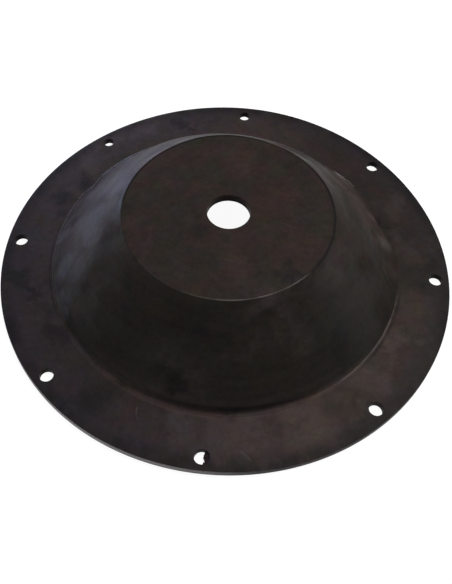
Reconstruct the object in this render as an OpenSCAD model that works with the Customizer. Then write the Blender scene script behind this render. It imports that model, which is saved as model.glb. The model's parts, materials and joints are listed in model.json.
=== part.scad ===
// Diaphragm of a hand-worked pump, moulded in one piece of black rubber.
// A flat bolting flange carries a hat: a short upright heel, then a slightly domed cone that rises
// to a flat crown with a hole for the hub. The origin is the middle of the flange's underside, and
// +Z points to the crown.

/* [Flange] */
// Outer diameter of the flange
flange_d = 210; // [208:0.5:260]
// Thickness of the rubber in the flange
flange_t = 3.2; // [2:0.1:5]
// Diameter of the circle that the bolt holes lie on
bolt_circle_d = 197.6; // [180:0.1:197.6]
// Diameter of each bolt hole
bolt_hole_d = 6.4; // [4:0.1:8]
// Number of bolt holes
bolt_hole_count = 8; // [4:1:12]
// Direction of the first bolt hole, anticlockwise from +X in degrees
bolt_turn = 41.5; // [0:0.5:90]

/* [Foot of the hat] */
// Diameter of the upright heel that the wall stands on
heel_d = 156.7; // [150:0.1:157]
// Height of the heel above the flange
heel_h = 3.6; // [3.5:0.1:5]
// Radius that rounds the heel into the wall
heel_edge_r = 1; // [0.5:0.1:1.5]
// Radius that fills the corner between the flange and the heel
foot_fill_r = 2.5; // [1:0.1:2.5]
// Height of the fine bead round the foot, above the flange
bead_h = 0.4; // [0.2:0.1:0.5]
// Radius of the bead's round top
bead_r = 0.6; // [0.6:0.1:1]

/* [Hat] */
// Height of the crown above the top of the flange
rise = 35; // [25:0.5:45]
// Diameter of the flat crown, measured to its sharp edge
crown_d = 93.6; // [80:0.1:100]
// Thickness of the rubber in the crown
crown_t = 4; // [3:0.1:6]
// Thickness of the rubber in the wall
wall_t = 3.2; // [2:0.1:4.5]
// How far the wall swells out from a straight cone, at its middle
wall_bulge = 1.1; // [0.4:0.1:2]
// Radius that rounds the crown's edge
crown_edge_r = 0.8; // [0.4:0.1:1.5]
// Diameter of the hole for the hub
hub_hole_d = 19; // [10:0.5:40]

/* [Underside] */
// Radius that blends the wall into the crown, inside the hat
crown_blend_r = 3; // [1:0.5:6]
// Radius that blends the wall into the heel, inside the hat
heel_blend_r = 4; // [1:0.5:6]
// Radius that eases the flange's underside into the heel
mouth_r = 2.5; // [1:0.5:3]

/* [Hidden] */
$fn = 180;
eps = 0.5;
// How far a rounding circle reaches past the lines that it touches, so that they cross cleanly
cross = 0.002;
rubber = [0.17, 0.15, 0.14];

height = flange_t + rise;
flange_r = flange_d / 2;
heel_r = heel_d / 2;
foot_r = heel_r + foot_fill_r;
// The wall's outer face is an arc from the heel's top to the crown's edge.
heel_point = [heel_r, flange_t + heel_h];
crown_point = [crown_d / 2, height];
chord = crown_point - heel_point;
wall_r = (pow(norm(chord) / 2, 2) + pow(wall_bulge, 2)) / (2 * wall_bulge);
wall_centre = (heel_point + crown_point) / 2
    + (wall_bulge - wall_r) * [chord.y, -chord.x] / norm(chord);

// Centre of a blend of radius e that lies inside an arc of radius r and touches the level z.
function blend_under_level(z, e, r) =
    [wall_centre.x + sqrt(pow(r - e, 2) - pow(z - e - wall_centre.y, 2)), z - e];

// Centre of a blend of radius e that lies inside an arc of radius r and touches the upright x.
function blend_beside_upright(x, e, r) =
    [x - e, wall_centre.y + sqrt(pow(r - e, 2) - pow(x - e - wall_centre.x, 2))];

// Unit vector from the wall's centre towards a point.
function out_from_wall(p) = (p - wall_centre) / norm(p - wall_centre);

// The waste at a convex corner: what lies beyond the circle of radius e about c, between the
// directions u and v.
module corner_waste(c, e, u, v) {
    reach = 3 * e;
    difference() {
        polygon([c, c + reach * u, c + reach * (u + v), c + reach * v]);
        translate(c) circle(e + cross);
    }
}

// A half section of a domed hat: inside the wall's arc of radius r and the upright x, from a
// bottom level to a top level, with its upper corner and its heel rounded.
module domed_hat(r, x, bottom, top, top_r, side_r) {
    top_c = blend_under_level(top, top_r, r);
    side_c = blend_beside_upright(x, side_r, r);
    difference() {
        intersection() {
            translate(wall_centre) circle(r, $fn = 720);
            translate([0, bottom]) square([x, top - bottom]);
        }
        corner_waste(top_c, top_r, [0, 1], out_from_wall(top_c));
        corner_waste(side_c, side_r, [1, 0], out_from_wall(side_c));
    }
}

// The filled corner between the heel and the flange, with the fine bead where it runs out.
module foot() {
    difference() {
        translate([heel_r - eps, flange_t - eps]) square(foot_fill_r + eps);
        translate([foot_r, flange_t + foot_fill_r]) circle(foot_fill_r);
    }
    translate([foot_r, flange_t + bead_h - bead_r]) circle(bead_r);
}

// The hollow under the hat, with its mouth eased into the flange's underside.
module hollow() {
    x = heel_r - wall_t;
    domed_hat(wall_r - wall_t, x, -eps, height - crown_t, crown_blend_r, heel_blend_r);
    difference() {
        translate([x - eps, -eps]) square([mouth_r + eps, mouth_r + eps]);
        translate([x + mouth_r, mouth_r]) circle(mouth_r + cross);
    }
}

// The whole moulding in half section, from the hub hole out to the rim.
module section() {
    difference() {
        union() {
            square([flange_r, flange_t]);
            domed_hat(wall_r, heel_r, 0, height, crown_edge_r, heel_edge_r);
            foot();
        }
        hollow();
        square([hub_hole_d / 2, height + eps]);
    }
}

module diaphragm() {
    color(rubber) difference() {
        rotate_extrude() section();
        for (i = [0 : bolt_hole_count - 1])
            rotate(bolt_turn + i * 360 / bolt_hole_count)
                translate([bolt_circle_d / 2, 0, -eps])
                    cylinder(d = bolt_hole_d, h = flange_t + 2 * eps, $fn = 48);
    }
}

diaphragm();
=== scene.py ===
"""Looks of a pump diaphragm: one black rubber moulding with a bolting flange and a hat."""
import json
import math

import bpy
import numpy as np
from mathutils import Matrix, Vector


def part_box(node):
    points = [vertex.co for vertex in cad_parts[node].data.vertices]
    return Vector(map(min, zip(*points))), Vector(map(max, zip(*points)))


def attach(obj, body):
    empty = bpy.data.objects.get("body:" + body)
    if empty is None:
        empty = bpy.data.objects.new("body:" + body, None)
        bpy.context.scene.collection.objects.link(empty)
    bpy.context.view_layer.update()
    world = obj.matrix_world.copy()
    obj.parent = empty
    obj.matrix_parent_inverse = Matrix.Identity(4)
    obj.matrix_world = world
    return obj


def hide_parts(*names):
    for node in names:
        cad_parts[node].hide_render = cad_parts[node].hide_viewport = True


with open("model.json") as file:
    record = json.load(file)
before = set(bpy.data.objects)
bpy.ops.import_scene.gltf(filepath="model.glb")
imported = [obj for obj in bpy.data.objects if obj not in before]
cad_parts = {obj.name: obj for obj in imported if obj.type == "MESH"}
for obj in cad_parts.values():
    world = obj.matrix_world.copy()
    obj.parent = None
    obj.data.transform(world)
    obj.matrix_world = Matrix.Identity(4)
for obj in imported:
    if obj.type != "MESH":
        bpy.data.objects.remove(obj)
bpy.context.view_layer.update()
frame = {"record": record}

MM = 0.001
MOUNTS = {m["name"]: m for m in frame["record"]["mounts"]}

# Sizes that the frame gives
NODE_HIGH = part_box("diaphragm")[1]
HEIGHT = NODE_HIGH.z
FLANGE_R = NODE_HIGH.x
FLANGE_T = MOUNTS["flange_top"]["pos_m"][2]
CROWN_UNDER = MOUNTS["crown_underside"]["pos_m"][2]
HUB_R = MOUNTS["hub_hole"]["dims"]["r_mm"] * MM
BOLT_CIRCLE_R = MOUNTS["bolt_holes"]["dims"]["pcd_mm"] * MM / 2
BOLT_R = MOUNTS["bolt_holes"]["dims"]["hole_r_mm"] * MM
BOLT_COUNT = MOUNTS["bolt_holes"]["dims"]["count"]

# Sizes of the moulding that the frame doesn't give, the same as in the part's source
HEEL_R = 78.35 * MM
HEEL_TOP = FLANGE_T + 3.6 * MM
HEEL_EDGE_R = 1.0 * MM
FOOT_FILL_R = 2.5 * MM
FOOT_R = HEEL_R + FOOT_FILL_R
CROWN_R = 46.8 * MM
WALL_T = 3.2 * MM
WALL_BULGE = 1.1 * MM
CROWN_BLEND_R = 3.0 * MM
HEEL_BLEND_R = 4.0 * MM
MOUTH_R = 2.5 * MM
BOLT_TURN = 41.5

# Sizes of its own: half the bead's width, the crown's edge as the photo shows it, and the edges
# that the trimming and punching left a little round
BEAD_HALF = 0.75 * MM
CROWN_EDGE_R = 0.5 * MM
CUT_EDGE_R = 0.25 * MM

# Where the wall slumps to the foot: how far it runs on before it bends, where it would meet the
# flange, and the fill of that corner
SLUMP_RUN = 5 * MM
SLUMP_FOOT_R = FOOT_R - 0.75 * MM
TOE_R = 0.9 * MM

# How the real moulding strays from true. Each rim wave has its waves a turn, its size in mm and
# the direction of a crest. Each row below is pairs of a direction in degrees, anticlockwise from
# +X, and a size in mm: how high the bead stands, how far the foot and the crown's edge stray
# outwards, how far the rim is lifted, and how far the wall swells.
RIM_WAVES = ((3, 0.28, -36), (4, 0.08, -11), (1, 0.07, -20), (2, 0.06, -85), (5, 0.06, 20))
BEAD_HEIGHTS = ((0, 0.05), (60, 0.05), (150, 0.05), (172, 0.1), (192, 0.08), (205, 0.0), (268, 0.0),
                (285, 0.15), (300, 0.3), (325, 0.4), (343, 0.3))
FOOT_STRAY = ((0, 0.2), (30, 0.2), (80, 0.3), (100, 1.5), (115, 2.6), (130, 2.4), (142, 1.8),
              (155, 1.1), (172, 0.6), (190, 0.4), (215, -0.3), (232, -0.7), (260, -0.2), (280, 0.1),
              (305, -0.6), (322, -0.5), (342, 0.0))
CROWN_STRAY = ((70, 0.0), (92, 0.5), (108, 0.5), (125, 0.0))
RIM_LIFT = ((20, 0.1), (75, 0.35), (120, 0.05), (165, 0.3), (215, 0.0), (250, 0.25), (290, 0.0),
            (330, 0.3))
WALL_SWELL = ((30, 0.0), (60, -0.1), (90, -0.1), (105, 0.15), (120, 0.45), (140, 0.4), (160, 0.0))
# The heel stands true in front, where the share is 1, and elsewhere the wall slumps to the foot
HEEL_SHOWS = ((236, 0.0), (258, 1.0), (286, 1.0), (306, 0.0))
# Dents in the foot: a direction, a half width in degrees and how far it draws the foot in, in mm
DENTS = ((17.5, 3.5, 1.6), (24.5, 2.5, 1.1), (148, 7, 1.2))
# A curl of flash on the bead, as its direction, its half width in degrees and its height
CURL = (270.5, 2.6, 0.55 * MM)
# A soft fold low on the wall at the right, as points in plan in mm, with its half width, how far
# it sinks into the wall, and the radii between which it fades out on its way to the foot
FOLD = ((66, 24), (70, 18), (72.6, 12), (71.6, 4), (70.8, -2), (71.6, -9), (75.2, -12), (77.5, -14))
FOLD_HALF = 1.5 * MM
FOLD_SINKS = 0.3 * MM
FOLD_FADES = (77 * MM, 80 * MM)
# Heights of the wall's long and short waves, and how far the crown's edge waves in and out
LONG_WAVE = 0.22 * MM
SHORT_WAVE = 0.05 * MM
CROWN_WAVE = 0.12 * MM
# Where the strays begin and end: the radii from which the rim lifts and waves, those between which
# the foot's stray grows from none to all, from inside and from outside, how far the waves fade at
# the ends of the wall, and the middle and the half widths of the rest
RIM_LIFTS_FROM = 84 * MM
RIM_WAVES_FROM = 99 * MM
FOOT_STRAY_INSIDE = (56 * MM, 80 * MM)
FOOT_STRAY_OUTSIDE = (88 * MM, 82 * MM)
WALL_FADE = 8 * MM
SWELL_HALF = 15 * MM
DENT_R = 80 * MM
DENT_HALF = 7 * MM
CROWN_STRAY_HALF = 9 * MM
# The wall slopes at about 45 degrees: what moves square to it moves this share of its way up, and
# this share outwards
SQUARE_SHARE = 0.7

# The mesh: columns round the axis, counted from the first bolt hole, the block of columns and
# rows that each bolt hole takes, and the depths of its rings, from 0 on top to 1 underneath
COLUMNS = 600
BLOCK_HALF = 5 * MM
BLOCK_ROWS = 8
BLOCK_COLUMNS = 10
HOLE_DEPTHS = (0.1, 0.28, 0.34, 0.5, 0.66, 0.72, 0.9)

# How far the rubber closed in on each punched hole, in mm of its radius
HOLE_CLOSED = (0.1, 0.42, 0.65, 0.2, 0.2, 0.0, 0.2, 0.15)
# The hole that kept a web of flash, and the direction of the web about the hole's own axis,
# anticlockwise from straight outwards
FLASHED_HOLE = 5
FLASH_TURN = math.radians(93.5)
# The web's half thickness, as a share of the hole's depth, how far its edge stays from the hole's
# middle, as a share of the radius, and its notch: a direction from the web's own and a half width
# in degrees, and how deep it is
WEB_HALF = 0.2
WEB_EDGE = 0.3
WEB_NOTCH = (-52, 9, 0.35)


def arc(centre, radius, start, end, count):
    """Points of an arc in the section, from one angle to another in degrees, both ends included."""
    angles = np.radians(np.linspace(start, end, count))
    return [(centre[0] + radius * math.cos(a), centre[1] + radius * math.sin(a)) for a in angles]


def run(a, b, count, support=0.2 * MM):
    """Points between a and b, both left out, with one close to each end to hold the shading flat."""
    a, b = np.array(a), np.array(b)
    share = support / np.linalg.norm(b - a)
    shares = np.linspace(share, 1 - share, count)
    return [tuple(a + (b - a) * s) for s in shares]


def angle_from(centre, point):
    return math.degrees(math.atan2(point[1] - centre[1], point[0] - centre[0]))


# The wall's outer face is an arc from the heel's top to the crown's edge
heel_point = np.array([HEEL_R, HEEL_TOP])
crown_point = np.array([CROWN_R, HEIGHT])
chord = crown_point - heel_point
chord_length = np.linalg.norm(chord)
wall_r = ((chord_length / 2) ** 2 + WALL_BULGE ** 2) / (2 * WALL_BULGE)
outward = np.array([chord[1], -chord[0]]) / chord_length
wall_centre = (heel_point + crown_point) / 2 + (WALL_BULGE - wall_r) * outward
inner_wall_r = wall_r - WALL_T


def blend_under_level(level, e, r):
    """Centre of a rounding of radius e inside the arc of radius r, touching the level."""
    x = wall_centre[0] + math.sqrt((r - e) ** 2 - (level - e - wall_centre[1]) ** 2)
    return (x, level - e)


def blend_beside_upright(x, e, r):
    """Centre of a rounding of radius e inside the arc of radius r, touching the upright."""
    y = wall_centre[1] + math.sqrt((r - e) ** 2 - (x - e - wall_centre[0]) ** 2)
    return (x - e, y)


def slumped_wall(start, start_a, count):
    """Points from the wall's middle down to the bead: one long bend, then a small filled toe."""
    along = np.array([math.sin(math.radians(start_a)), -math.cos(math.radians(start_a))])
    start = np.array(start)
    bend = start + SLUMP_RUN * along
    corner = np.array([SLUMP_FOOT_R, FLANGE_T])
    down = (corner - bend) / np.linalg.norm(corner - bend)
    slope = math.degrees(math.atan2(-down[1], down[0]))
    reach = TOE_R * math.tan(math.radians(slope / 2))
    end = corner - reach * down
    shares = np.linspace(0, 1, count - 4)[1:, None] ** 0.7
    curve = (1 - shares) ** 2 * start + 2 * shares * (1 - shares) * bend + shares ** 2 * end
    toe_c = (corner[0] + reach, FLANGE_T + TOE_R)
    return [tuple(p) for p in curve] + arc(toe_c, TOE_R, 270 - slope, 266, 6)[1:]


def section(heel_stands):
    """The moulding's closed section, anticlockwise seen with +r to the right, and its bolt rows.

    It has as many points with a slumped foot as with a heel that stands. The last number of each
    arc and run is how many points it has, apart from a run's support."""
    inner_heel_r = HEEL_R - WALL_T
    crown_c = blend_under_level(HEIGHT, CROWN_EDGE_R, wall_r)
    heel_c = blend_beside_upright(HEEL_R, HEEL_EDGE_R, wall_r)
    foot_c = (FOOT_R, FLANGE_T + FOOT_FILL_R)
    bead_a = 270 - math.degrees(math.asin(BEAD_HALF / FOOT_FILL_R))
    bead_edge = (FOOT_R + BEAD_HALF, FLANGE_T)
    mouth_c = (inner_heel_r + MOUTH_R, MOUTH_R)
    inner_heel_c = blend_beside_upright(inner_heel_r, HEEL_BLEND_R, inner_wall_r)
    inner_crown_c = blend_under_level(CROWN_UNDER, CROWN_BLEND_R, inner_wall_r)
    crown_a = angle_from(wall_centre, crown_c)
    heel_a = angle_from(wall_centre, heel_c)
    middle_a = crown_a + 0.5 * (heel_a - crown_a)
    inner_heel_a = angle_from(wall_centre, inner_heel_c)
    inner_crown_a = angle_from(wall_centre, inner_crown_c)
    e = CUT_EDGE_R
    band = np.linspace(BOLT_CIRCLE_R - BLOCK_HALF, BOLT_CIRCLE_R + BLOCK_HALF, BLOCK_ROWS + 1)

    # The hub hole, the crown and the wall's upper half
    points = arc((HUB_R + e, e + CROWN_UNDER), e, 270, 180, 4)
    points += run((HUB_R, CROWN_UNDER + e), (HUB_R, HEIGHT - e), 3)
    points += arc((HUB_R + e, HEIGHT - e), e, 180, 90, 4)
    points += run((HUB_R + e, HEIGHT), (crown_c[0], HEIGHT), 10)
    points += arc(crown_c, CROWN_EDGE_R, 90, crown_a, 5)
    points += arc(wall_centre, wall_r, crown_a, middle_a, 17)[1:]

    # The wall's lower half and the heel, and the toe, down to the middle of the bead
    lower = arc(wall_centre, wall_r, middle_a, heel_a, 22)[1:-1]
    lower += arc(heel_c, HEEL_EDGE_R, heel_a, 0, 4)
    lower += run((HEEL_R, heel_c[1]), (HEEL_R, foot_c[1]), 2)
    lower += arc(foot_c, FOOT_FILL_R, 180, bead_a, 7)[:-1]
    toe = arc(foot_c, FOOT_FILL_R, bead_a, 270, 6)
    if not heel_stands:
        lower = slumped_wall(points[-1], middle_a, len(lower))
        toe = run(lower[-1], (FOOT_R, FLANGE_T), 5, 0.1 * MM) + [(FOOT_R, FLANGE_T)]
    points += lower + toe

    # The flange's top, the rim and the flange's underside
    points += run((FOOT_R, FLANGE_T), bead_edge, 4, 0.15 * MM) + [bead_edge]
    points += run(bead_edge, (band[0], FLANGE_T), 6, 0.3 * MM)
    top_row = len(points)
    points += [(r, FLANGE_T) for r in band]
    points += arc((FLANGE_R - e, FLANGE_T - e), e, 90, 0, 4)
    points += run((FLANGE_R, FLANGE_T - e), (FLANGE_R, e), 3)
    points += arc((FLANGE_R - e, e), e, 0, -90, 4)
    under_row = len(points)
    points += [(r, 0.0) for r in band[::-1]]
    points += run((band[0], 0.0), (mouth_c[0], 0.0), 3)

    # The hollow, from its mouth up to the crown's underside
    points += arc(mouth_c, MOUTH_R, 270, 180, 5)
    points += run((inner_heel_r, mouth_c[1]), (inner_heel_r, inner_heel_c[1]), 2)
    points += arc(inner_heel_c, HEEL_BLEND_R, 0, inner_heel_a, 4)
    points += arc(wall_centre, inner_wall_r, inner_heel_a, inner_crown_a, 12)[1:-1]
    points += arc(inner_crown_c, CROWN_BLEND_R, inner_crown_a, 90, 5)
    points += run((inner_crown_c[0], CROWN_UNDER), (HUB_R + e, CROWN_UNDER), 6)
    return np.array(points), top_row, under_row


def hole_rings(centre_angle, loop_top, loop_under, hole_radius, closed):
    """Rings of points from a block's edge on top, down through its hole, to its edge underneath.

    loop_top and loop_under are the block's edge points. hole_radius gives the radius at a
    direction about the hole's axis and at a depth from 0, the top, to 1, the underside, and
    closed is how far the rubber closed in on it."""
    c = math.radians(centre_angle)
    middle = BOLT_CIRCLE_R * np.array([math.cos(c), math.sin(c)])
    offsets = loop_top[:, :2] - middle
    directions = np.arctan2(offsets[:, 1], offsets[:, 0])
    unit = np.stack([np.cos(directions), np.sin(directions)], axis=1)
    e = CUT_EDGE_R

    def ring(inset, z, depth):
        radius = np.array([hole_radius(a - c, depth) for a in directions]) - closed + inset
        return np.column_stack([middle + unit * radius[:, None], np.full(len(unit), z)])

    def between(edge, z, depth):
        start = ring(e + 0.2 * MM, z, depth)
        rings = [edge * (1 - s) + start * s for s in (0.3, 0.6, 0.85)]
        for r in rings:
            r[:, 2] = z
        return rings + [start]

    rounding = np.radians([0, 30, 60, 90])
    rings = between(loop_top, FLANGE_T, 0)
    rings += [ring(e - e * math.sin(a), FLANGE_T - e + e * math.cos(a), 0) for a in rounding]
    rings += [ring(0, FLANGE_T - e - d * (FLANGE_T - 2 * e), d) for d in HOLE_DEPTHS]
    rings += [ring(e - e * math.sin(a), e - e * math.cos(a), 1) for a in rounding[::-1]]
    rings += between(loop_under, 0.0, 1)[::-1]
    return rings


def smoothstep(low, high, x):
    t = np.clip((x - low) / (high - low), 0, 1)
    return t * t * (3 - 2 * t)


def hump(distance, half_width):
    """A smooth hump: 1 in the middle and 0 from half_width outwards."""
    return np.cos(np.clip(np.abs(distance) / half_width, 0, 1) * math.pi / 2) ** 2


def around(turn, marks):
    """A size that runs smoothly round the axis through marks of a direction and a size."""
    directions, sizes = zip(*marks)
    spread = [np.interp(turn + shift, directions, sizes, period=360) for shift in range(-8, 9, 2)]
    return np.mean(spread, axis=0)


def distance_to_path(x, y, path):
    """Distance in plan from points to a path of straight stretches, whose corners are in mm."""
    place = np.stack([x, y], axis=1)
    corners = np.array(path) * MM
    nearest = np.full(len(x), 1.0)
    for start, end in zip(corners, corners[1:]):
        step = end - start
        share = np.clip((place - start) @ step / (step @ step), 0, 1)
        off = place - start - share[:, None] * step
        nearest = np.minimum(nearest, np.linalg.norm(off, axis=1))
    return nearest


def wobble(turn, r, seed):
    """Long soft waves round and across the wall, between about -1 and 1."""
    chance = np.random.default_rng(seed)
    total = 0
    for waves in range(2, 9):
        start, slant = chance.uniform(0, 2 * math.pi), chance.uniform(-1, 1)
        total = total + np.cos(waves * np.radians(turn) + start + slant * r / (9 * MM)) / waves
    return total / 1.4


def uneven(points, outer):
    """Moves points of the true moulding to where the real one's lie. outer is true on its face."""
    x, y, z = points.T
    r = np.hypot(x, y)
    turn = np.degrees(np.arctan2(y, x))
    whole_turn = np.mod(turn, 360)

    # Upwards: the bead with its curl, and the rim
    bead = around(turn, BEAD_HEIGHTS) * MM + CURL[2] * hump(whole_turn - CURL[0], CURL[1])
    rise = np.where(outer, bead * hump(r - FOOT_R, BEAD_HALF), 0)
    rise = rise + around(turn, RIM_LIFT) * MM * smoothstep(RIM_LIFTS_FROM, FLANGE_R, r)

    # Square to the wall: waves, the swell and the fold
    below_crown = smoothstep(CROWN_R, CROWN_R + WALL_FADE, r)
    on_wall = below_crown * smoothstep(HEEL_R, HEEL_R - WALL_FADE, r)
    swell = LONG_WAVE * on_wall * wobble(turn, r, 5)
    swell = swell + SHORT_WAVE * on_wall * wobble(3 * turn, 4 * r, 8)
    middle_r = (CROWN_R + HEEL_R) / 2
    swell = swell + around(turn, WALL_SWELL) * MM * hump(r - middle_r, SWELL_HALF)
    fades_from, fades_to = FOLD_FADES
    fold = hump(distance_to_path(x, y, FOLD), FOLD_HALF) * smoothstep(fades_to, fades_from, r)
    swell = swell - np.where(outer, FOLD_SINKS * fold, 0)

    # Outwards: the rim, the foot with its dents, and the crown's edge
    waves_round = [size * np.cos(np.radians(waves * (turn - crest))) for waves, size, crest in RIM_WAVES]
    rim = sum(waves_round) * MM * smoothstep(RIM_WAVES_FROM, FLANGE_R, r)
    at_foot = smoothstep(*FOOT_STRAY_INSIDE, r) * smoothstep(*FOOT_STRAY_OUTSIDE, r)
    outwards = rim + around(turn, FOOT_STRAY) * MM * at_foot + SQUARE_SHARE * swell
    for direction, half, size in DENTS:
        dent = hump(whole_turn - direction, half) * hump(r - DENT_R, DENT_HALF)
        outwards = outwards - size * MM * dent
    crown = around(turn, CROWN_STRAY) * MM + CROWN_WAVE * wobble(turn, 0, 3)
    outwards = outwards + crown * hump(r - CROWN_R, CROWN_STRAY_HALF)

    scale = 1 + outwards / np.maximum(r, 1 * MM)
    lifted = np.maximum(z + rise + SQUARE_SHARE * swell, 0)
    return np.stack([x * scale, y * scale, lifted], axis=1)


def plain_hole(direction, depth):
    return BOLT_R


def flashed_hole(direction, depth):
    """The one hole whose punching left a ragged web of rubber across its right third."""
    across = math.cos(direction - FLASH_TURN)
    if abs(depth - 0.5) > WEB_HALF or across < 0.2:
        return BOLT_R
    ragged = WEB_EDGE + 0.1 * math.sin(9 * direction + 1) + 0.07 * math.sin(23 * direction)
    notch_at, notch_half, notch_size = WEB_NOTCH
    notch = notch_size * hump(math.degrees(direction - FLASH_TURN) - notch_at, notch_half)
    return BOLT_R * min(1, (ragged + notch) / across)


def block_loop(row, row_step, first_column, table):
    """Indices round the edge of a bolt hole's block of the grid."""
    far = row + row_step * BLOCK_ROWS
    columns = [(first_column + i) % COLUMNS for i in range(BLOCK_COLUMNS + 1)]
    rows = [row + row_step * j for j in range(BLOCK_ROWS + 1)]
    loop = [table[row, c] for c in columns]
    loop += [table[r, columns[-1]] for r in rows[1:]]
    loop += [table[far, c] for c in columns[::-1][1:]]
    loop += [table[r, columns[0]] for r in rows[::-1][1:-1]]
    return loop


def moulding():
    """The whole moulding as one closed mesh of four-sided faces, and each point's true radius."""
    standing, top_row, under_row = section(True)
    slumped = section(False)[0]
    rows = len(standing)
    turn = BOLT_TURN + np.arange(COLUMNS) * 360 / COLUMNS
    share = around(turn, HEEL_SHOWS)
    r, z = (np.outer(standing[:, i], share) + np.outer(slumped[:, i], 1 - share) for i in (0, 1))
    a = np.tile(np.radians(turn), rows)
    vertices = [np.column_stack([r.ravel() * np.cos(a), r.ravel() * np.sin(a), z.ravel()])]
    table = np.arange(rows * COLUMNS).reshape(rows, COLUMNS)

    # Row and column of each face, without those that the holes' blocks cut out
    cut = np.zeros((rows, COLUMNS), bool)
    first_columns = []
    for k in range(BOLT_COUNT):
        first = k * COLUMNS // BOLT_COUNT - BLOCK_COLUMNS // 2
        first_columns.append(first)
        columns = [(first + i) % COLUMNS for i in range(BLOCK_COLUMNS)]
        for start in (top_row, under_row):
            cut[start:start + BLOCK_ROWS, columns] = True
    j, i = np.nonzero(~cut)
    ahead = (i + 1) % COLUMNS
    beyond = (j + 1) % rows
    corners = [table[j, i], table[beyond, i], table[beyond, ahead], table[j, ahead]]
    faces = [np.column_stack(corners)]

    # Each block is filled by rings of faces that run from its edge down through the hole
    count = rows * COLUMNS
    for k, first in enumerate(first_columns):
        top = block_loop(top_row, 1, first, table)
        under = block_loop(under_row + BLOCK_ROWS, -1, first, table)
        angle = BOLT_TURN + k * 360 / BOLT_COUNT
        shape = flashed_hole if k == FLASHED_HOLE else plain_hole
        closed = HOLE_CLOSED[k] * MM
        rings = hole_rings(angle, vertices[0][top], vertices[0][under], shape, closed)
        loops = [top]
        for ring in rings:
            loops.append(list(range(count, count + len(ring))))
            vertices.append(ring)
            count += len(ring)
        loops.append(under)
        for outer, inner in zip(loops, loops[1:]):
            outer, inner = np.array(outer), np.array(inner)
            faces.append(np.column_stack([inner, np.roll(inner, -1), np.roll(outer, -1), outer]))
    vertices = np.vstack(vertices)
    outer = np.arange(count) < under_row * COLUMNS
    true_radii = np.hypot(vertices[:, 0], vertices[:, 1])
    return uneven(vertices, outer).tolist(), np.vstack(faces).tolist(), true_radii


def add_mesh(name, vertices, faces, material):
    mesh = bpy.data.meshes.new(name)
    mesh.from_pydata(vertices, [], faces)
    mesh.polygons.foreach_set("use_smooth", [True] * len(mesh.polygons))
    mesh.materials.append(material)
    mesh.validate()
    mesh.update()
    piece = bpy.data.objects.new(name, mesh)
    bpy.context.scene.collection.objects.link(piece)
    return piece


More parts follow.
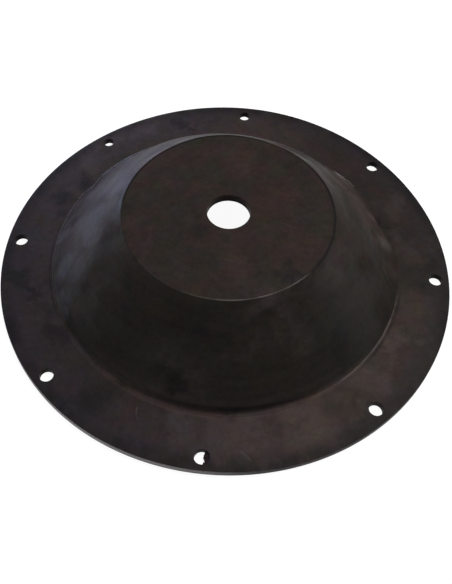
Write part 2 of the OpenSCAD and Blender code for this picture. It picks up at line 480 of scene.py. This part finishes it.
class Graph:
    """Short calls for laying out the nodes of a material or a world.

    A value may be a number or a socket."""

    def __init__(self, owner):
        owner.use_nodes = True
        self.nodes = owner.node_tree.nodes
        self.links = owner.node_tree.links

    def feed(self, socket, value):
        if isinstance(value, bpy.types.NodeSocket):
            self.links.new(value, socket)
        else:
            socket.default_value = value

    def math(self, operation, a, b=0.0, clamp=False):
        node = self.nodes.new("ShaderNodeMath")
        node.operation = operation
        node.use_clamp = clamp
        self.feed(node.inputs[0], a)
        self.feed(node.inputs[1], b)
        return node.outputs[0]

    def chain(self, operation, values):
        """One operation on any number of values, from the first to the last."""
        result = values[0]
        for value in values[1:]:
            result = self.math(operation, result, value)
        return result

    def plus(self, *values):
        return self.chain("ADD", values)

    def less(self, *values):
        """The first value less the others."""
        return self.chain("SUBTRACT", values)

    def times(self, *values):
        return self.chain("MULTIPLY", values)

    def most(self, *values):
        return self.chain("MAXIMUM", values)

    def vector(self, operation, a, b=(0, 0, 0), output="Vector"):
        node = self.nodes.new("ShaderNodeVectorMath")
        node.operation = operation
        self.feed(node.inputs[0], a)
        self.feed(node.inputs[1], b)
        return node.outputs[output]

    def scaled(self, vector, factor):
        node = self.nodes.new("ShaderNodeVectorMath")
        node.operation = "SCALE"
        node.inputs["Scale"].default_value = factor
        self.feed(node.inputs[0], vector)
        return node.outputs["Vector"]

    def split(self, vector):
        node = self.nodes.new("ShaderNodeSeparateXYZ")
        self.feed(node.inputs[0], vector)
        return node.outputs["X"], node.outputs["Y"], node.outputs["Z"]

    def join(self, x, y, z):
        node = self.nodes.new("ShaderNodeCombineXYZ")
        for socket, value in zip(node.inputs, (x, y, z)):
            self.feed(socket, value)
        return node.outputs[0]

    def step(self, value, low, high, start=0.0, end=1.0):
        """A smooth step from start, where the value is low, to end, where it is high."""
        node = self.nodes.new("ShaderNodeMapRange")
        node.interpolation_type = "SMOOTHSTEP"
        for name, number in (("From Min", low), ("From Max", high), ("To Min", start), ("To Max", end)):
            node.inputs[name].default_value = number
        self.feed(node.inputs["Value"], value)
        return node.outputs["Result"]

    def band(self, value, middle, half):
        """1 where the value is at the middle, smoothly down to 0 at half a width from it."""
        off = self.math("ABSOLUTE", self.less(value, middle))
        return self.step(off, 0.3 * half, half, 1.0, 0.0)

    def noise(self, place, size, detail, roughness, distortion=0.0, shift=None, output="Fac"):
        """Noise from 0 to 1 whose largest features are about the given size across.

        A shift takes it from another part of the noise, so that two noises don't match."""
        if shift:
            place = self.vector("ADD", place, shift)
        node = self.nodes.new("ShaderNodeTexNoise")
        node.inputs["Scale"].default_value = 1 / size
        node.inputs["Detail"].default_value = detail
        node.inputs["Roughness"].default_value = roughness
        node.inputs["Distortion"].default_value = distortion
        self.feed(node.inputs["Vector"], place)
        return node.outputs[output]

    def centred(self, noise):
        """Noise that runs from -0.5 to 0.5 instead of from 0 to 1."""
        return self.less(noise, 0.5)

    def attribute(self, name):
        """A number that the mesh keeps for each of its points."""
        node = self.nodes.new("ShaderNodeAttribute")
        node.attribute_name = name
        return node.outputs["Fac"]

    def patches(self, plan, marks):
        """1 in any of some discs in plan, each with its middle and radius in mm, softly down to 0."""
        covered = 0.0
        for (x, y), radius in marks:
            off = self.vector("DISTANCE", plan, (x * MM, y * MM, 0.0), output="Value")
            inside = self.step(off, 0.2 * radius * MM, 1.25 * radius * MM, 1.0, 0.0)
            covered = self.most(covered, inside)
        return covered

    def scratch(self, plan, start, end, half):
        """A thin straight mark in plan, between two ends and with a half width in mm."""
        start, end = (Vector((p[0] * MM, p[1] * MM, 0.0)) for p in (start, end))
        step = end - start
        along = self.vector("DOT_PRODUCT", self.vector("SUBTRACT", plan, start), step, output="Value")
        share = self.math("DIVIDE", along, step.length_squared, clamp=True)
        walked = self.vector("MULTIPLY", self.join(share, share, share), step)
        nearest = self.vector("ADD", walked, start)
        off = self.vector("DISTANCE", plan, nearest, output="Value")
        return self.step(off, 0.3 * half * MM, half * MM, 1.0, 0.0)

    def blend(self, share, a, b, way="MIX"):
        node = self.nodes.new("ShaderNodeMix")
        node.data_type = "RGBA"
        node.blend_type = way
        self.feed(node.inputs["Factor"], share)
        self.feed(node.inputs["A"], a)
        self.feed(node.inputs["B"], b)
        return node.outputs["Result"]


# Base colours of the rubber: brown where it is clean, with redder and greener parts and a dark
# olive that is painted shade on the wall's front, pale or violet where it has bloomed, and pink also
# as painted highlight on the flange in front and painted light in the corner at the foot there, pale
# where it is dusty and as painted sheen on the wall, pale where it is scuffed or cut and as painted
# highlight on the bead, the crown's edge and the rim's side, darker brown on a stretch of the foot,
# and near black where it is oily and as painted shade beside the bead
BRICK = (0.0262, 0.0155, 0.0152, 1)
OLIVE = (0.0190, 0.0150, 0.0131, 1)
VIOLET = (0.0215, 0.0170, 0.0212, 1)
DARK_OLIVE = (0.0140, 0.0130, 0.0116, 1)
PINK_BLOOM_AND_PAINTED_LIGHT = (0.0530, 0.0372, 0.0382, 1)
VIOLET_BLOOM = (0.0365, 0.0290, 0.0348, 1)
DUST_AND_SHEEN = (0.0560, 0.0515, 0.0600, 1)
WARM_DUST_AND_SHEEN = (0.0550, 0.0455, 0.0440, 1)
FOOT_BROWN = (0.0150, 0.0112, 0.0088, 1)
OILY_AND_SHADE = (0.0090, 0.0083, 0.0098, 1)
SCUFF_AND_HIGHLIGHT = (0.1150, 0.0980, 0.0920, 1)
CUT_AND_HIGHLIGHT = (0.2300, 0.2200, 0.2300, 1)

# Marks on the faces, in plan and in mm. A patch has its middle and its radius.
RED_PATCHES = (
    ((22, 10), 15), ((28, -18), 12), ((6, 30), 11), ((4, -30), 10), ((-16, 13), 7), ((-36, -80), 8),
    ((-92, 15), 8), ((62, 66), 9), ((97, -24), 5))
# Bloom patches; those on the flange in front are partly a painted highlight
BLOOM_AND_HIGHLIGHT_PATCHES = (
    ((8, -92), 26), ((38, -85), 22), ((62, -60), 17), ((75, -42), 12), ((-15, -88), 12),
    ((-50, 84), 15), ((-71, 60), 12), ((-62, 74), 9))
FAINT_PATCHES = (
    ((85, -24), 12), ((84, 37), 10), ((87, 9), 7), ((84, 16), 5), ((-88, 4), 9), ((-84, 12), 6))
DARK_PATCHES = (
    ((-72, 47), 6), ((-28, 92), 6), ((-20, 85), 4), ((-55, -77), 13), ((-95, -14), 9), ((-90, -22), 6),
    ((26, -33), 5), ((-22, -67), 7), ((-20, -74), 5), ((78, 22), 5), ((70, 28), 5), ((82, 52), 6),
    ((63, -80), 6), ((-86, 34), 8), ((-74, -42), 8), ((95, 0), 6), ((92, -8), 5))
# Pale patches on the wall, partly dust and partly painted sheen
DUST_AND_SHEEN_PATCHES = (
    ((-57, 25), 10), ((-51, 17), 8), ((-64, 2), 11), ((-61, -8), 9), ((-73, -14), 8), ((-65, -19), 7),
    ((-71, -29), 8), ((-78, 8), 5), ((-52, 52), 9), ((75, 10), 6), ((66, 23), 4), ((58, 44), 7),
    ((54, 52), 5), ((52, 32), 4.5), ((-60, -38), 7))
DULL_PATCHES = (
    ((-70, 36), 10), ((-66, 45), 8), ((-76, 25), 8), ((-73, 12), 5), ((-51, -12), 7), ((-55, -27), 8),
    ((28, 48), 10), ((34, 58), 12), ((38, 68), 10), ((44, 52), 8), ((8, 70), 13), ((-12, 72), 8),
    ((55, 33), 7), ((70, 9), 3), ((71, 20), 3), ((62, -15), 7), ((72, -28), 7), ((-21, -70), 8))
# A scratch has its two ends, its half width, and how pale it is, from 0 to 1
SCRATCHES = (
    ((-34, -78.5), (-33.4, -84), 0.3, 0.3), ((9, -96), (13.5, -100), 0.5, 0.25),
    ((62.9, 51), (53.9, 60.4), 0.8, 0.9), ((22, -4.4), (29, -7.6), 0.25, 0.25),
    ((-1, -26), (1.5, -27), 0.3, 0.3), ((70.5, 23.6), (73.2, 20.4), 0.4, 0.4),
    ((55, 47), (60.5, 40), 1.0, 0.25))
# Sides towards which the flange grows darker: a direction, the distances from the axis between which
# the darkening grows, and how strong it is
DARKER_SIDES = ((25, 60, 85, 0.28), (207, 66, 84, 0.2))


class Rubber(Graph):
    """Black-brown rubber with a patchy bloom, fine rings on its wall and a few marks, and with light and
    shade painted into its colour in places.

    Most methods are layers: they take the colour below and return the colour with theirs on it."""

    def __init__(self):
        self.material = bpy.data.materials.new("moulded_rubber")
        super().__init__(self.material)
        self.place = self.nodes.new("ShaderNodeTexCoord").outputs["Object"]
        self.x, self.y, _ = self.split(self.place)
        self.plan = self.join(self.x, self.y, 0.0)
        self.r = self.attribute("moulded_r")
        self.lay_out_faces()
        self.lay_out_noises()

    def lay_out_faces(self):
        """Which face a point is on, and on which side of it."""
        self.on_flange = self.step(self.r, FOOT_R - 0.4 * MM, FOOT_R + 0.4 * MM)
        self.on_crown = self.step(self.r, CROWN_R - 0.7 * MM, CROWN_R - 0.3 * MM, 1.0, 0.0)
        elsewhere = self.plus(self.on_flange, self.on_crown)
        self.on_wall = self.math("SUBTRACT", 1.0, elsewhere, clamp=True)
        self.leftwards = self.step(self.x, 35 * MM, -35 * MM)
        self.flange_left = self.times(self.on_flange, self.leftwards)
        self.in_front = self.step(self.y, -40 * MM, -70 * MM)

        # The darker stretch along the crown's edge and the darker brown one along the foot
        dark_side = self.most(self.side(130, 20, 40), self.side(-3, 31, 40))
        self.under_edge = self.times(self.band(self.r, CROWN_R - 0.5 * MM, 0.9 * MM), dark_side)
        self.browned = self.times(self.band(self.r, FOOT_R - 0.4 * MM, 1.7 * MM), self.side(224, 72, 78))

    def lay_out_noises(self):
        # Round the wall the noise is stretched into rings: a slow circle in the noise, quick in r
        turn = self.scaled(self.vector("NORMALIZE", self.plan), 0.4)
        ringed = self.vector("ADD", turn, self.join(0.0, 0.0, self.times(self.r, 60.0)))
        self.rings = self.noise(ringed, 0.11, 5.0, 0.62)
        self.bands = self.noise(ringed, 0.42, 3.0, 0.5)
        # and into broad streaks along them
        streaked = self.vector("ADD", turn, self.join(0.0, 0.0, self.times(self.r, 22.0)))
        self.streaks = self.noise(streaked, 0.15, 5.0, 0.6, 0.2)

        # Noise that pushes the plan about gives the patches their ragged outlines
        push = self.noise(self.place, 15 * MM, 5.0, 0.62, output="Color")
        self.push = self.scaled(self.vector("SUBTRACT", push, (0.5, 0.5, 0.5)), 40 * MM)
        pushed = self.vector("ADD", self.plan, self.push)
        self.ragged = self.vector("MULTIPLY", pushed, (1.0, 1.0, 0.0))
        self.shaken = self.pushed_by(0.4)

        # From the largest clouds down to the grain
        self.cloud = self.noise(self.place, 26 * MM, 5.0, 0.62, 0.3, shift=(0.31, 0.17, 0.05))
        self.tinge = self.noise(self.place, 15 * MM, 5.0, 0.65, shift=(0.57, 0.05, 0.41))
        self.spots = self.noise(self.place, 8 * MM, 4.0, 0.6, 0.4, shift=(0.11, 0.43, 0.29))
        self.hues = self.noise(self.place, 7 * MM, 4.0, 0.6, shift=(0.2, 0.9, 0.6), output="Color")
        self.speckle = self.noise(self.place, 2.6 * MM, 4.0, 0.75)
        self.grain = self.noise(self.place, 0.9 * MM, 2.0, 0.6)

    def pushed_by(self, share):
        """The plan, pushed about by a share of the push."""
        part = self.vector("MULTIPLY", self.push, (share, share, 0.0))
        return self.vector("ADD", self.plan, part)

    def side(self, direction, low, high, start=0.0, end=1.0):
        """A smooth step in plan along a direction in degrees, between two distances in mm."""
        a = math.radians(direction)
        towards = (math.cos(a), math.sin(a), 0.0)
        distance = self.vector("DOT_PRODUCT", self.plan, towards, output="Value")
        return self.step(distance, low * MM, high * MM, start, end)

    def ground(self):
        """Olive brown, brick red in parts, violet on the flange's left, and dark olive on the wall in
        front as painted shade.
        """
        red_parts = self.step(self.tinge, 0.45, 0.68, 0.0, 0.8)
        reddish = self.most(self.patches(self.ragged, RED_PATCHES), red_parts)
        colour = self.blend(reddish, OLIVE, BRICK)
        spotted = self.step(self.spots, 0.36, 0.56, 0.45, 1.0)
        off_foot = self.step(self.r, 82 * MM, 91 * MM, 0.2, 1.0)
        violet = self.times(self.flange_left, spotted, off_foot, self.side(228, 66, 84, 1.0, 0.35))
        violet = self.most(violet, self.step(self.r, 90 * MM, 99 * MM, 0.0, 0.55))
        colour = self.blend(violet, colour, VIOLET)
        # Painted shade: the wall turns darker olive towards its front, the side that the lamps hardly
        # reach
        front = self.times(self.on_wall, self.step(self.y, 25 * MM, -50 * MM, 0.0, 0.88))
        return self.blend(front, colour, DARK_OLIVE)

    def bloom_and_highlight(self, colour):
        """Bloom in patches, most of them on the flange in front, where they are also a painted
        highlight, and as a thin film on the flange.
        """
        faint = self.times(self.patches(self.ragged, FAINT_PATCHES), 0.5)
        # The patches on the flange in front are partly bloom and partly a painted highlight
        patches = self.most(self.patches(self.ragged, BLOOM_AND_HIGHLIGHT_PATCHES), faint)
        patches = self.times(patches, self.step(self.spots, 0.3, 0.52, 0.5, 0.9))
        off_crown = self.less(1.0, self.times(self.on_crown, 0.6))
        clouded = self.times(self.step(self.cloud, 0.52, 0.75, 0.0, 0.4), off_crown)
        film = self.times(self.step(self.tinge, 0.3, 0.7, 0.15, 0.4), self.side(22, 40, 85, 1.0, 0.15))
        on_flange = self.times(self.on_flange, self.most(patches, film))
        bloom_and_highlight_share = self.most(clouded, on_flange)
        return self.blend(bloom_and_highlight_share, colour, self.blend(self.flange_left, PINK_BLOOM_AND_PAINTED_LIGHT, VIOLET_BLOOM))

    def dust_and_painted_light(self, colour):
        """Pale patches on the wall, partly dust and partly painted sheen, and painted light on the heel
        and in the corner at its foot, in front.
        """
        # The wall's pale patches stand partly for dust and partly for painted sheen
        streaky = self.step(self.streaks, 0.36, 0.62, 0.1, 0.6)
        patches = self.times(self.patches(self.shaken, DUST_AND_SHEEN_PATCHES), streaky)
        # Painted light: the heel and the corner at its foot in front are made paler where they lie in
        # shade
        heel = self.times(self.band(self.r, HEEL_R, 3 * MM), self.in_front, 0.15)
        dust_and_light_share = self.times(self.on_wall, self.most(patches, heel))
        corner = self.step(self.r, HEEL_R - 0.2 * MM, FOOT_R - 0.7 * MM, 0.0, 0.7)
        corner = self.times(corner, self.step(self.r, FOOT_R + 0.2 * MM, FOOT_R + 1.6 * MM, 1.0, 0.0))
        dust_and_light_share = self.most(dust_and_light_share, self.times(corner, self.in_front))
        dust_and_painted_light = self.blend(self.leftwards, WARM_DUST_AND_SHEEN, DUST_AND_SHEEN)
        return self.blend(dust_and_light_share, colour, self.blend(self.in_front, dust_and_painted_light, PINK_BLOOM_AND_PAINTED_LIGHT))

    def stains(self, colour):
        """Dark stains towards the rim, in clouds and in patches, and the flange darker towards two
        sides.
        """
        uneven_rim = self.step(self.tinge, 0.38, 0.6, 0.3, 0.85)
        rim = self.times(self.step(self.r, 95 * MM, 104 * MM), uneven_rim)
        stained = self.most(rim, self.step(self.cloud, 0.45, 0.28, 0.0, 0.6))
        for direction, low, high, strength in DARKER_SIDES:
            darkened = self.times(self.on_flange, self.side(direction, low, high, 0.0, strength))
            stained = self.most(stained, darkened)
        dark = self.times(self.patches(self.ragged, DARK_PATCHES), 0.72)
        return self.blend(self.most(stained, dark), colour, OILY_AND_SHADE)

    def mottling(self, colour):
        """Mottling at every size down to the grain, rings on the wall and blotches on the crown."""
        shade = self.plus(self.times(self.speckle, 0.7), self.times(self.grain, 0.35), 0.475)
        ringing = self.plus(self.times(self.rings, 0.5), self.times(self.bands, 0.4))
        shade = self.plus(shade, self.times(self.on_wall, self.less(ringing, 0.45)))
        blotched = self.plus(self.times(self.spots, 0.4), self.times(self.speckle, 0.25))
        shade = self.plus(shade, self.times(self.on_crown, self.less(blotched, 0.325)))
        tint = self.vector("MULTIPLY", self.hues, (0.5, 0.45, 0.7))
        tint = self.vector("ADD", tint, (0.75, 0.78, 0.65))
        tint = self.vector("MULTIPLY", tint, self.join(shade, shade, shade))
        return self.blend(1.0, colour, tint, "MULTIPLY")

    def dark_lines(self, colour):
        """Painted shade in the crease just outside the bead at the right and at the left, and a darker
        line along part of the crown's edge.
        """
        # Painted shade: a dark line on the flange beside the bead, where the bead's crease lies in shade
        shaded_sides = self.most(self.side(-28, 74, 80), self.side(188, 76, 81))
        beside_bead = self.band(self.r, FOOT_R + 1.4 * MM, 0.9 * MM)
        spotted = self.step(self.spots, 0.35, 0.55, 0.15, 0.6)
        dark_lines = self.times(beside_bead, spotted, shaded_sides)
        dark_lines = self.most(dark_lines, self.times(self.under_edge, 0.6))
        return self.blend(dark_lines, colour, OILY_AND_SHADE)

    def brown_foot(self, colour):
        """A darker brown band along the foot at the front left."""
        browned = self.times(self.browned, self.step(self.spots, 0.35, 0.6, 0.1, 0.7))
        return self.blend(browned, colour, FOOT_BROWN)

    def highlights_and_scratches(self, colour):
        """Pale painted highlights on one side each of the bead and the crown's edge, and pale scratches.
        """
        # Painted highlight: the bead is paler on its front right and the crown's edge on its front,
        # where they catch the light
        bead = self.times(self.band(self.r, FOOT_R, 0.55 * MM), self.side(-38, 70, 80, 0.0, 0.6))
        edge = self.band(self.r, CROWN_R - 0.45 * MM, 0.4 * MM)
        pale_share = self.most(bead, self.times(edge, self.side(-76, 37, 43, 0.0, 0.5)))
        wandering = self.pushed_by(0.12)
        for start, end, half, pale in SCRATCHES:
            scratch = self.scratch(wandering, start, end, half)
            pale_share = self.most(pale_share, self.times(scratch, pale))
        patchy = self.step(self.noise(self.place, 9 * MM, 4.0, 0.6), 0.38, 0.6, 0.35, 1.0)
        return self.blend(self.times(pale_share, patchy), colour, SCUFF_AND_HIGHLIGHT)

    def cut_face_and_highlight(self, colour):
        """The rim's side face, pale where it was cut, and paler towards the front left as painted
        highlight.
        """
        side_face = self.step(self.r, FLANGE_R - 0.35 * MM, FLANGE_R - 0.05 * MM)
        # Painted highlight: the cut face is made paler towards the front left
        return self.blend(self.times(side_face, self.side(243, 82, 102, 0.08, 0.75)), colour, CUT_AND_HIGHLIGHT)

    def roughness(self):
        """Gloss that comes and goes in clouds and, on the wall, in rings and streaks."""
        clouds = self.plus(self.centred(self.spots), self.centred(self.cloud))
        lined = self.plus(self.centred(self.rings), self.centred(self.bands))
        lined = self.plus(self.times(lined, 0.25), self.times(self.centred(self.streaks), 0.7))
        rough = self.plus(self.times(clouds, 0.28), self.times(self.on_wall, lined))
        dull = self.times(self.on_wall, self.patches(self.shaken, DULL_PATCHES))
        dull = self.most(dull, self.under_edge, self.browned)
        rough = self.plus(rough, self.times(dull, 0.36))
        return self.math("ADD", rough, 0.45, clamp=True)

    def normal(self):
        """A fine relief: grain everywhere, and rings and streaks on the wall."""
        relief = self.plus(self.times(self.grain, 0.02), self.times(self.speckle, 0.05))
        lines = self.plus(self.times(self.rings, 0.06), self.times(self.bands, 0.1))
        lines = self.plus(lines, self.times(self.streaks, 0.25))
        relief = self.plus(relief, self.times(lines, self.on_wall))
        bump = self.nodes.new("ShaderNodeBump")
        bump.inputs["Strength"].default_value = 1.0
        bump.inputs["Distance"].default_value = MM
        self.feed(bump.inputs["Height"], relief)
        return bump.outputs["Normal"]


def rubber_material():
    g = Rubber()
    colour = g.ground()
    for layer in (g.bloom_and_highlight, g.dust_and_painted_light, g.stains, g.mottling, g.dark_lines, g.brown_foot, g.highlights_and_scratches, g.cut_face_and_highlight):
        colour = layer(colour)
    shader = g.nodes["Principled BSDF"].inputs
    g.feed(shader["Base Color"], colour)
    g.feed(shader["Roughness"], g.roughness())
    g.feed(shader["Normal"], g.normal())
    shader["IOR"].default_value = 1.1
    shader["Specular IOR Level"].default_value = 0.5
    return g.material


# The camera, at the photograph's view: it looks down at the flange from in front and close by
CAMERA_ELEVATION = 55.73
CAMERA_ROLL = 2.72
CAMERA_DISTANCE = 342.1 * MM
CAMERA_AIM = Vector((0.5 * MM, -16.35 * MM, 0))
CAMERA_LENS = 45.3

# The studio round it: a round floor whose edge bends up into a low backdrop, how grey the floor is
# to the light and to the eye, how strongly it glows to the eye, and the strength of the world
FLOOR_R = 2.5
FLOOR_BEND_R = 0.3
FLOOR_SIDES = 128
BACKDROP_HEIGHT = 0.4
FLOOR_GREY = 0.8
FLOOR_GREY_SEEN = 0.15
FLOOR_GLOW = 0.94
WORLD_STRENGTH = 0.05

# Soft lamps aimed at the object: the azimuth, anticlockwise from +X, and the elevation in degrees,
# the width and height in metres, the power in watts, and the colour
LAMP_DISTANCE = 1.0
LAMPS = {
    "key": (45, 66, 0.4, 0.45, 9.2, (1.0, 0.98, 0.89)),
    "right": (0, 14, 0.4, 0.3, 3.5, (1.0, 1.0, 1.0)),
    "behind": (110, 14, 0.4, 0.3, 3.7, (0.96, 1.0, 0.77)),
    "behind_blue": (120, 8, 0.4, 0.3, 6.8, (0.4, 0.44, 1.0)),
    "behind_left": (140, 8, 0.4, 0.3, 4.8, (0.56, 0.7, 1.0)),
    "left": (165, 14, 0.4, 0.3, 1.5, (1.0, 0.97, 0.87)),
    "front_left": (240, 7, 0.4, 0.3, 3.1, (1.0, 1.0, 1.0)),
}

scene = bpy.context.scene
scene.view_settings.view_transform = "Standard"


def make_camera():
    data = bpy.data.cameras.new("camera")
    data.lens = CAMERA_LENS
    data.sensor_width = 36
    data.clip_start = 0.01
    data.clip_end = 20
    camera = bpy.data.objects.new("camera", data)
    scene.collection.objects.link(camera)
    elevation = math.radians(CAMERA_ELEVATION)
    back = Vector((0, -math.cos(elevation), math.sin(elevation)))
    tilt = Matrix.Rotation(math.pi / 2 - elevation, 4, "X")
    roll = Matrix.Rotation(math.radians(CAMERA_ROLL), 4, "Z")
    place = Matrix.Translation(CAMERA_AIM + back * CAMERA_DISTANCE)
    camera.matrix_world = place @ tilt @ roll
    scene.camera = camera


def floor_material():
    """A pale matt floor that shows as white to the camera and in reflections, with a soft shadow."""
    material = bpy.data.materials.new("pale_floor")
    g = Graph(material)
    g.nodes.clear()
    rays = g.nodes.new("ShaderNodeLightPath").outputs
    seen = g.most(rays["Is Camera Ray"], rays["Is Glossy Ray"], rays["Is Transmission Ray"])
    matt, shown = (g.nodes.new("ShaderNodeBsdfDiffuse") for _ in range(2))
    matt.inputs["Color"].default_value = (FLOOR_GREY, FLOOR_GREY, FLOOR_GREY, 1)
    shown.inputs["Color"].default_value = (FLOOR_GREY_SEEN, FLOOR_GREY_SEEN, FLOOR_GREY_SEEN, 1)
    glow = g.nodes.new("ShaderNodeEmission")
    glow.inputs["Strength"].default_value = FLOOR_GLOW
    glowing = g.nodes.new("ShaderNodeAddShader")
    g.links.new(shown.outputs[0], glowing.inputs[0])
    g.links.new(glow.outputs[0], glowing.inputs[1])
    mix = g.nodes.new("ShaderNodeMixShader")
    for socket, value in zip(mix.inputs, (seen, matt.outputs[0], glowing.outputs[0])):
        g.links.new(value, socket)
    out = g.nodes.new("ShaderNodeOutputMaterial")
    g.links.new(mix.outputs[0], out.inputs["Surface"])
    return material


def make_floor():
    flat_r = FLOOR_R - FLOOR_BEND_R
    profile = [(flat_r, 0.0)]
    profile += arc((flat_r, FLOOR_BEND_R), FLOOR_BEND_R, -90, 0, 13)[1:]
    profile += [(FLOOR_R, BACKDROP_HEIGHT)]
    points = [(0.0, 0.0, 0.0)]
    for r, z in profile:
        for i in range(FLOOR_SIDES):
            a = 2 * math.pi * i / FLOOR_SIDES
            points.append((r * math.cos(a), r * math.sin(a), z))
    faces = [(0, 1 + i, 1 + (i + 1) % FLOOR_SIDES) for i in range(FLOOR_SIDES)]
    for j in range(len(profile) - 1):
        a, b = 1 + j * FLOOR_SIDES, 1 + (j + 1) * FLOOR_SIDES
        for i in range(FLOOR_SIDES):
            n = (i + 1) % FLOOR_SIDES
            faces.append((a + i, b + i, b + n, a + n))
    floor = add_mesh("floor", points, faces, floor_material())


def area_lamp(name, azimuth, elevation, width, height, power, colour):
    data = bpy.data.lights.new(name, "AREA")
    data.shape = "RECTANGLE"
    data.size = width
    data.size_y = height
    data.energy = power
    data.color = colour
    lamp = bpy.data.objects.new(name, data)
    a, e = math.radians(azimuth), math.radians(elevation)
    direction = Vector((math.cos(a) * math.cos(e), math.sin(a) * math.cos(e), math.sin(e)))
    lamp.location = direction * LAMP_DISTANCE
    lamp.rotation_mode = "QUATERNION"
    lamp.rotation_quaternion = direction.to_track_quat("Z", "Y")
    lamp.visible_camera = False
    scene.collection.objects.link(lamp)


def make_world():
    """A dim white world, which shows as white to the camera above the backdrop."""
    world = bpy.data.worlds.new("studio")
    scene.world = world
    g = Graph(world)
    background = g.nodes["Background"].inputs
    background["Color"].default_value = (1, 1, 1, 1)
    to_camera = g.nodes.new("ShaderNodeLightPath").outputs["Is Camera Ray"]
    g.feed(background["Strength"], g.most(to_camera, WORLD_STRENGTH))


def make_diaphragm():
    """The moulding, which keeps each point's true radius for its material."""
    vertices, faces, true_radii = moulding()
    diaphragm = add_mesh("diaphragm_rubber", vertices, faces, rubber_material())
    moulded_r = diaphragm.data.attributes.new("moulded_r", "FLOAT", "POINT")
    moulded_r.data.foreach_set("value", true_radii)
    return diaphragm


make_camera()
make_floor()
for name, numbers in LAMPS.items():
    area_lamp(name, *numbers)
make_world()

diaphragm = make_diaphragm()
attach(diaphragm, "root")
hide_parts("diaphragm")
